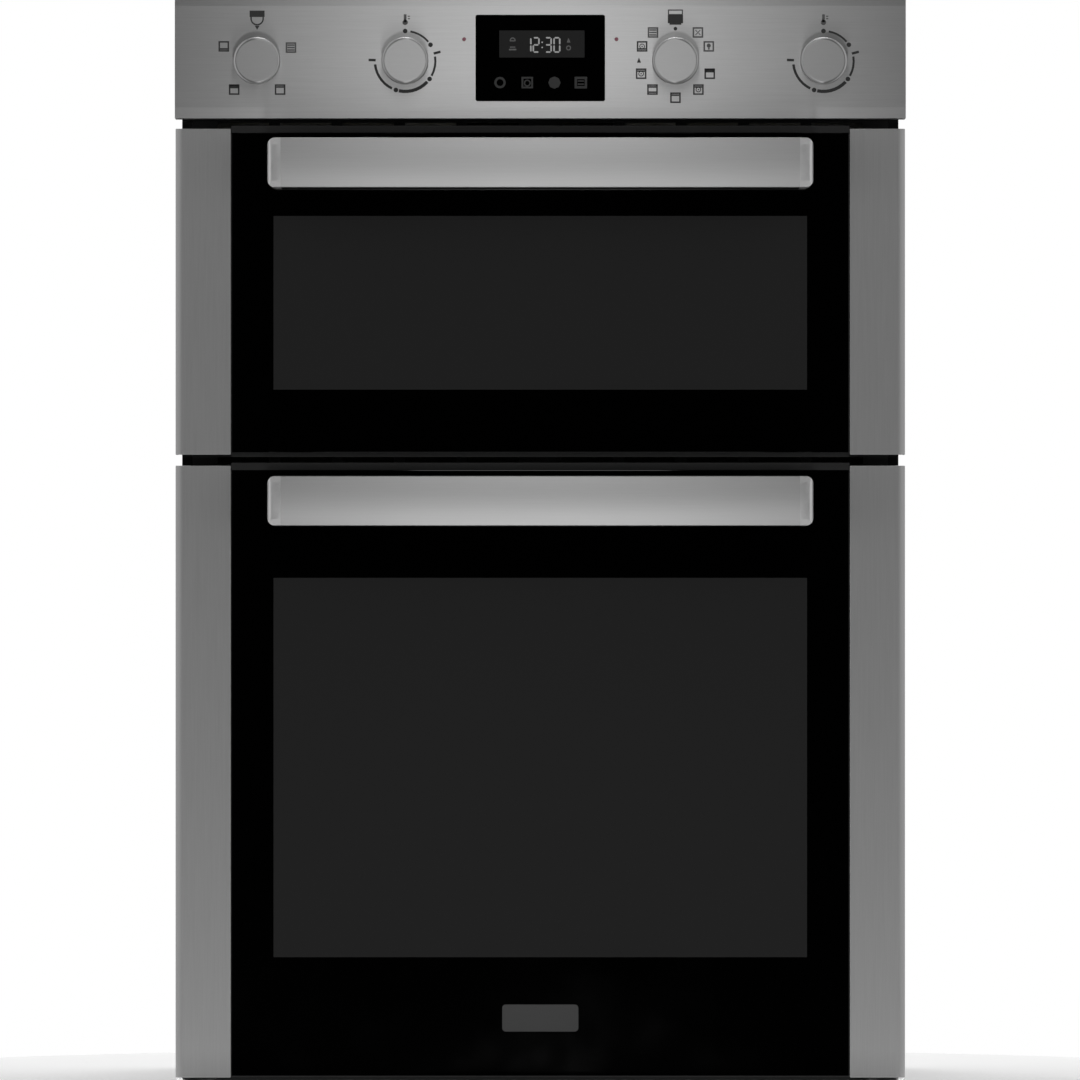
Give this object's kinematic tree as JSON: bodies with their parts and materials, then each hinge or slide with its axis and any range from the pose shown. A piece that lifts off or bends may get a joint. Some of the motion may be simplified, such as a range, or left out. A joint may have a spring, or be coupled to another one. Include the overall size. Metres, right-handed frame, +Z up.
{
  "type": "wall oven",
  "caption": "Built-in double wall oven with a steel control panel, a small top oven and a tall fan oven, each with a drop-down glass door and bar handle.",
  "frame": {"origin": "middle of the overall box in X and Y, on the plane of the base", "axes": "+X to the right as seen from the front, +Y from the doors to the rear, +Z up"},
  "size_m": [0.595, 0.612, 0.888],
  "materials": {
    "galvanised_steel": "galvanised sheet, satin",
    "black_enamel": "satin black enamel",
    "cavity_enamel": "gloss grey-black enamel with fine specks",
    "brushed_steel": "brushed along the width, with a clear coat",
    "knob_metal": "satin metal-coated plastic",
    "black_glass": "black printed glass, polished",
    "inner_glass": "heat-reflecting inner pane",
    "black_plastic": "satin moulded",
    "gasket_rubber": "matt silicone",
    "circuit_board": "printed board and moulded parts",
    "lamp_red": "clear red lens",
    "switch_plastic": "moulded thermoset",
    "steel_shaft": "zinc-plated steel",
    "element_metal": "oxidised alloy tube",
    "chromed_wire": "bright chrome-plated wire",
    "lamp_glass": "frosted lamp cover",
    "mineral_wool": "pressed mineral wool",
    "fan_metal": "pressed sheet",
    "badge_metal": "satin blank plate"
  },
  "bodies": {
    "chassis": {"base_panel": "galvanised_steel", "left_side_panel": "galvanised_steel", "right_side_panel": "galvanised_steel", "top_cover": "galvanised_steel", "rear_panel": "galvanised_steel", "front_frame": "black_enamel", "bottom_trim": "brushed_steel", "vent_trims": "black_plastic", "control_panel": "brushed_steel", "display_glass": "black_glass", "timer_module": "circuit_board", "indicator_lamps": "lamp_red", "rotary_switches": "switch_plastic", "main_cavity": "cavity_enamel", "upper_cavity": "cavity_enamel", "cavity_gaskets": "gasket_rubber", "fan_baffle": "cavity_enamel", "ring_element": "element_metal", "fan_motor": "steel_shaft", "cooling_fan_housing": "galvanised_steel", "grill_element": "element_metal", "side_racks": "chromed_wire", "oven_lamps": "lamp_glass", "insulation": "mineral_wool", "hinge_arms": "steel_shaft", "terminal_box": "black_plastic", "cable_gland": "black_plastic", "chassis_screws": "steel_shaft"},
    "upper_door": {"upper_door_glass": "black_glass", "upper_door_trims": "brushed_steel", "upper_door_handle": "brushed_steel", "upper_door_handle_caps": "brushed_steel", "upper_door_frame": "black_enamel", "upper_door_inner_glass": "inner_glass", "upper_door_top_cap": "black_plastic", "upper_door_bottom_rail": "black_plastic", "upper_door_hinges": "steel_shaft"},
    "lower_door": {"lower_door_glass": "black_glass", "lower_door_trims": "brushed_steel", "lower_door_handle": "brushed_steel", "lower_door_handle_caps": "brushed_steel", "lower_door_frame": "black_enamel", "lower_door_inner_glass": "inner_glass", "lower_door_top_cap": "black_plastic", "lower_door_bottom_rail": "black_plastic", "lower_door_hinges": "steel_shaft", "front_badge": "badge_metal"},
    "main_fan": {"fan_impeller": "fan_metal"},
    "cooling_fan": {"cooling_impeller": "fan_metal"},
    "upper_shelf": {"upper_shelf": "chromed_wire"},
    "main_shelf": {"main_shelf": "chromed_wire"},
    "roasting_tray": {"roasting_tray": "cavity_enamel"},
    "upper_function_knob": {"upper_function_knob": "knob_metal", "upper_function_shaft": "steel_shaft"},
    "upper_heat_knob": {"upper_heat_knob": "knob_metal", "upper_heat_shaft": "steel_shaft"},
    "main_function_knob": {"main_function_knob": "knob_metal", "main_function_shaft": "steel_shaft"},
    "main_heat_knob": {"main_heat_knob": "knob_metal", "main_heat_shaft": "steel_shaft"}
  },
  "joints": [
    {"name": "upper_door_hinge", "type": "hinge", "parent": "chassis", "child": "upper_door", "pos_m": [0, -0.246, 0.5331], "axis": [1, 0, 0], "range_deg": [0, 90], "stiffness_Nm_per_rad": 2.4, "springref_deg": -34.38},
    {"name": "lower_door_hinge", "type": "hinge", "parent": "chassis", "child": "lower_door", "pos_m": [0, -0.246, 0.0261], "axis": [1, 0, 0], "range_deg": [0, 90], "stiffness_Nm_per_rad": 9, "springref_deg": -22.92},
    {"name": "upper_function_turn", "type": "hinge", "parent": "chassis", "child": "upper_function_knob", "pos_m": [-0.2305, -0.262, 0.8374], "axis": [0, 1, 0], "continuous": true},
    {"name": "upper_heat_turn", "type": "hinge", "parent": "chassis", "child": "upper_heat_knob", "pos_m": [-0.11, -0.262, 0.8374], "axis": [0, 1, 0], "range_deg": [0, 272]},
    {"name": "main_function_turn", "type": "hinge", "parent": "chassis", "child": "main_function_knob", "pos_m": [0.11, -0.262, 0.8374], "axis": [0, 1, 0], "continuous": true},
    {"name": "main_heat_turn", "type": "hinge", "parent": "chassis", "child": "main_heat_knob", "pos_m": [0.2305, -0.262, 0.8374], "axis": [0, 1, 0], "range_deg": [0, 272]},
    {"name": "main_fan_spin", "type": "hinge", "parent": "chassis", "child": "main_fan", "pos_m": [0, 0.16, 0.235], "axis": [0, 1, 0], "continuous": true},
    {"name": "cooling_fan_spin", "type": "hinge", "parent": "chassis", "child": "cooling_fan", "pos_m": [0, 0.15, 0.8], "axis": [0, 0, 1], "continuous": true},
    {"name": "upper_shelf_slide", "type": "slide", "parent": "chassis", "child": "upper_shelf", "axis": [0, -1, 0], "range_m": [0, 0.16]},
    {"name": "main_shelf_slide", "type": "slide", "parent": "chassis", "child": "main_shelf", "axis": [0, -1, 0], "range_m": [0, 0.26]},
    {"name": "roasting_tray_slide", "type": "slide", "parent": "chassis", "child": "roasting_tray", "axis": [0, -1, 0], "range_m": [0, 0.16]}
  ],
  "couplings": [
    {"joint": "upper_shelf_slide", "follows": "upper_door_hinge", "m_per_rad": 0.1},
    {"joint": "main_shelf_slide", "follows": "lower_door_hinge", "m_per_rad": 0.16},
    {"joint": "roasting_tray_slide", "follows": "lower_door_hinge", "m_per_rad": 0.09}
  ]
}
